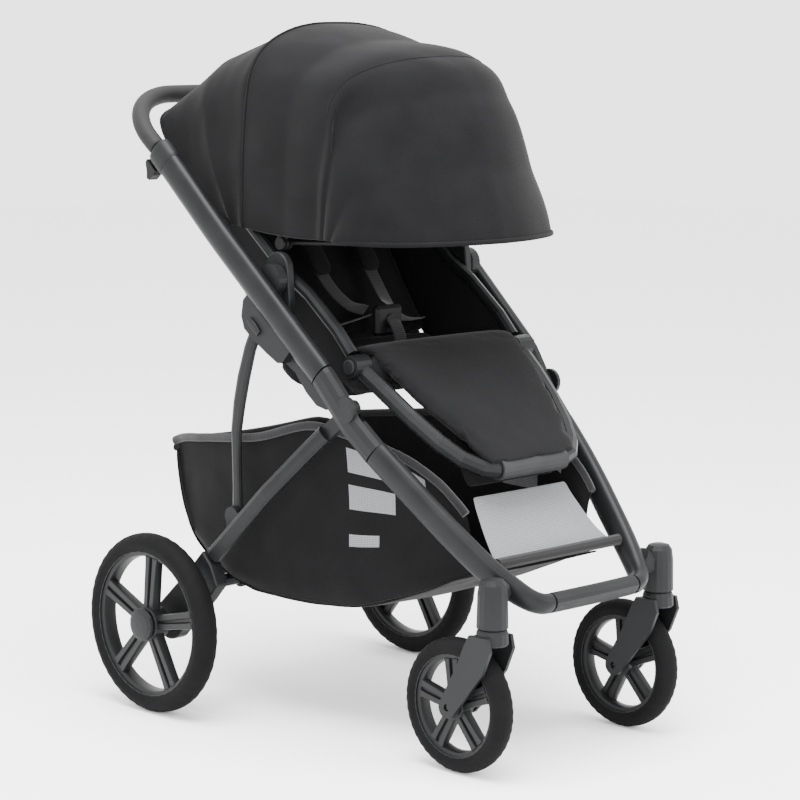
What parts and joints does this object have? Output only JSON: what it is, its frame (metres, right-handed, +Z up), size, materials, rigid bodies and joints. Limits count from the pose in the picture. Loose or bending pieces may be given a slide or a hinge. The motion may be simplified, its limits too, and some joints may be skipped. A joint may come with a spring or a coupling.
{
  "type": "baby stroller",
  "caption": "Full-size baby stroller with a folding frame, reclining seat, extendable canopy, leg rest, under-seat basket, swivelling front wheels and sliding push handle.",
  "frame": {"origin": "centre of the bounding box, on the ground under the tyres", "axes": "+Z up, -Y the way the stroller rolls forward, +X the stroller's own left"},
  "size_m": [0.65, 0.867, 1.104],
  "materials": {
    "frame_paint": "satin",
    "housing_plastic": "satin",
    "moulded_plastic": "satin",
    "button_plastic": "satin",
    "tyre_rubber": "matte",
    "grip_foam": "matte",
    "sleeve_rubber": "matte",
    "charcoal_cloth": "woven",
    "hood_cloth": "woven",
    "webbing": "woven"
  },
  "bodies": {
    "front_frame": {"front_leg_l": "frame_paint", "front_leg_r": "frame_paint", "front_crossbar": "housing_plastic", "hinge_housing_l": "housing_plastic", "hinge_housing_r": "housing_plastic", "caster_housing_l": "housing_plastic", "caster_housing_r": "housing_plastic", "basket": "charcoal_cloth", "basket_bar": "webbing"},
    "upper_frame": {"upper_tube_l": "frame_paint", "upper_tube_r": "frame_paint", "latch_housing_l": "housing_plastic", "latch_housing_r": "housing_plastic", "seat_mount_l": "housing_plastic", "seat_mount_r": "housing_plastic"},
    "rear_frame": {"rear_leg_l": "frame_paint", "rear_leg_r": "frame_paint", "axle_housing_l": "housing_plastic", "axle_housing_r": "housing_plastic", "rear_cross_tube": "frame_paint"},
    "strut_l": {"strut_l": "frame_paint"},
    "strut_r": {"strut_r": "frame_paint"},
    "handle": {"handle_grip": "grip_foam", "handle_stem_l": "frame_paint", "handle_stem_r": "frame_paint"},
    "seat": {"seat_frame": "frame_paint", "seat_hub_l": "housing_plastic", "seat_hub_r": "housing_plastic", "seat_shell": "charcoal_cloth", "harness": "webbing", "buckle": "moulded_plastic", "canopy_main_bow": "moulded_plastic", "canopy_rear": "hood_cloth"},
    "leg_rest": {"leg_rest_frame": "frame_paint", "leg_rest_sleeve": "sleeve_rubber", "leg_rest_pad": "charcoal_cloth"},
    "canopy_front": {"canopy_front_bow": "moulded_plastic", "canopy_hood": "hood_cloth"},
    "canopy_mid": {"canopy_mid_bow": "moulded_plastic"},
    "caster_l": {"caster_fork_l": "housing_plastic"},
    "caster_r": {"caster_fork_r": "housing_plastic"},
    "front_wheel_l": {"front_tyre_l": "tyre_rubber", "front_rim_l": "moulded_plastic"},
    "front_wheel_r": {"front_tyre_r": "tyre_rubber", "front_rim_r": "moulded_plastic"},
    "rear_wheel_l": {"rear_tyre_l": "tyre_rubber", "rear_rim_l": "moulded_plastic", "rear_axle_l": "housing_plastic"},
    "rear_wheel_r": {"rear_tyre_r": "tyre_rubber", "rear_rim_r": "moulded_plastic", "rear_axle_r": "housing_plastic"},
    "height_lever_l": {"height_lever_l": "moulded_plastic"},
    "height_lever_r": {"height_lever_r": "moulded_plastic"},
    "fold_trigger_l": {"fold_trigger_l": "button_plastic"},
    "fold_trigger_r": {"fold_trigger_r": "button_plastic"},
    "brake_pedal": {"brake_pedal": "moulded_plastic"},
    "buckle_button": {"buckle_button": "button_plastic"},
    "leg_rest_button_l": {"leg_rest_button_l": "button_plastic"},
    "leg_rest_button_r": {"leg_rest_button_r": "button_plastic"},
    "recline_lever": {"recline_lever": "moulded_plastic"}
  },
  "joints": [
    {"name": "frame_fold", "type": "hinge", "parent": "front_frame", "child": "upper_frame", "pos_m": [0, -0.01848, 0.575], "axis": [-1, 0, 0], "range_deg": [0, 95], "deforming": ["basket"]},
    {"name": "rear_fold", "type": "hinge", "parent": "front_frame", "child": "rear_frame", "pos_m": [0, -0.11858, 0.528], "axis": [-1, 0, 0], "range_deg": [0, 55.66]},
    {"name": "strut_swing_l", "type": "hinge", "parent": "upper_frame", "child": "strut_l", "pos_m": [0.224, 0.08342, 0.64101], "axis": [-1, 0, 0], "range_deg": [-51.45, 0]},
    {"name": "strut_swing_r", "type": "hinge", "parent": "upper_frame", "child": "strut_r", "pos_m": [-0.224, 0.08342, 0.64101], "axis": [-1, 0, 0], "range_deg": [-51.45, 0]},
    {"name": "handle_slide", "type": "slide", "parent": "upper_frame", "child": "handle", "axis": [0, 0.7466, 0.6652], "range_m": [0, 0.1]},
    {"name": "seat_recline", "type": "hinge", "parent": "upper_frame", "child": "seat", "pos_m": [0, 0.05942, 0.711], "axis": [-1, 0, 0], "range_deg": [0, 25]},
    {"name": "leg_rest_tilt", "type": "hinge", "parent": "seat", "child": "leg_rest", "pos_m": [0, -0.09458, 0.588], "axis": [-1, 0, 0], "range_deg": [-25, 35]},
    {"name": "canopy_fold", "type": "hinge", "parent": "seat", "child": "canopy_front", "pos_m": [0, 0.06942, 0.765], "axis": [-1, 0, 0], "range_deg": [0, 80], "deforming": ["canopy_hood"]},
    {"name": "canopy_mid_fold", "type": "hinge", "parent": "seat", "child": "canopy_mid", "pos_m": [0, 0.06942, 0.765], "axis": [-1, 0, 0], "range_deg": [0, 28.05]},
    {"name": "caster_swivel_l", "type": "hinge", "parent": "front_frame", "child": "caster_l", "pos_m": [0.1886, -0.38858, 0.229], "axis": [0, 0, 1], "continuous": true},
    {"name": "front_wheel_spin_l", "type": "hinge", "parent": "caster_l", "child": "front_wheel_l", "pos_m": [0.1886, -0.32258, 0.1026], "axis": [1, 0, 0], "continuous": true},
    {"name": "rear_wheel_spin_l", "type": "hinge", "parent": "rear_frame", "child": "rear_wheel_l", "pos_m": [0.295, 0.26142, 0.146], "axis": [1, 0, 0], "continuous": true},
    {"name": "height_lever_l", "type": "hinge", "parent": "upper_frame", "child": "height_lever_l", "pos_m": [0.24, 0.31584, 0.87622], "axis": [-1, 0, 0], "range_deg": [0, 8]},
    {"name": "fold_trigger_l", "type": "slide", "parent": "upper_frame", "child": "fold_trigger_l", "axis": [0, 0.7466, 0.6652], "range_m": [0, 0.004]},
    {"name": "leg_rest_button_l", "type": "slide", "parent": "leg_rest", "child": "leg_rest_button_l", "axis": [-1, 0, 0], "range_m": [0, 0.002]},
    {"name": "caster_swivel_r", "type": "hinge", "parent": "front_frame", "child": "caster_r", "pos_m": [-0.1886, -0.38858, 0.229], "axis": [0, 0, 1], "continuous": true},
    {"name": "front_wheel_spin_r", "type": "hinge", "parent": "caster_r", "child": "front_wheel_r", "pos_m": [-0.1886, -0.32258, 0.1026], "axis": [1, 0, 0], "continuous": true},
    {"name": "rear_wheel_spin_r", "type": "hinge", "parent": "rear_frame", "child": "rear_wheel_r", "pos_m": [-0.295, 0.26142, 0.146], "axis": [1, 0, 0], "continuous": true},
    {"name": "height_lever_r", "type": "hinge", "parent": "upper_frame", "child": "height_lever_r", "pos_m": [-0.24, 0.31584, 0.87622], "axis": [-1, 0, 0], "range_deg": [0, 8]},
    {"name": "fold_trigger_r", "type": "slide", "parent": "upper_frame", "child": "fold_trigger_r", "axis": [0, 0.7466, 0.6652], "range_m": [0, 0.004]},
    {"name": "leg_rest_button_r", "type": "slide", "parent": "leg_rest", "child": "leg_rest_button_r", "axis": [1, 0, 0], "range_m": [0, 0.002]},
    {"name": "brake_pedal_press", "type": "hinge", "parent": "rear_frame", "child": "brake_pedal", "pos_m": [-0.12, 0.22742, 0.203], "axis": [-1, 0, 0], "range_deg": [0, 18]},
    {"name": "buckle_press", "type": "slide", "parent": "seat", "child": "buckle_button", "axis": [0, 1, 0], "range_m": [0, 0.002]},
    {"name": "recline_lever_pull", "type": "hinge", "parent": "seat", "child": "recline_lever", "pos_m": [0, 0.20942, 0.742], "axis": [-1, 0, 0], "range_deg": [0, 15]}
  ],
  "couplings": [
    {"joint": "rear_fold", "follows": "frame_fold", "ratio": 0.5854},
    {"joint": "strut_swing_l", "follows": "frame_fold", "ratio": -0.541},
    {"joint": "strut_swing_r", "follows": "frame_fold", "ratio": -0.541},
    {"joint": "canopy_mid_fold", "follows": "canopy_fold", "ratio": 0.35}
  ]
}
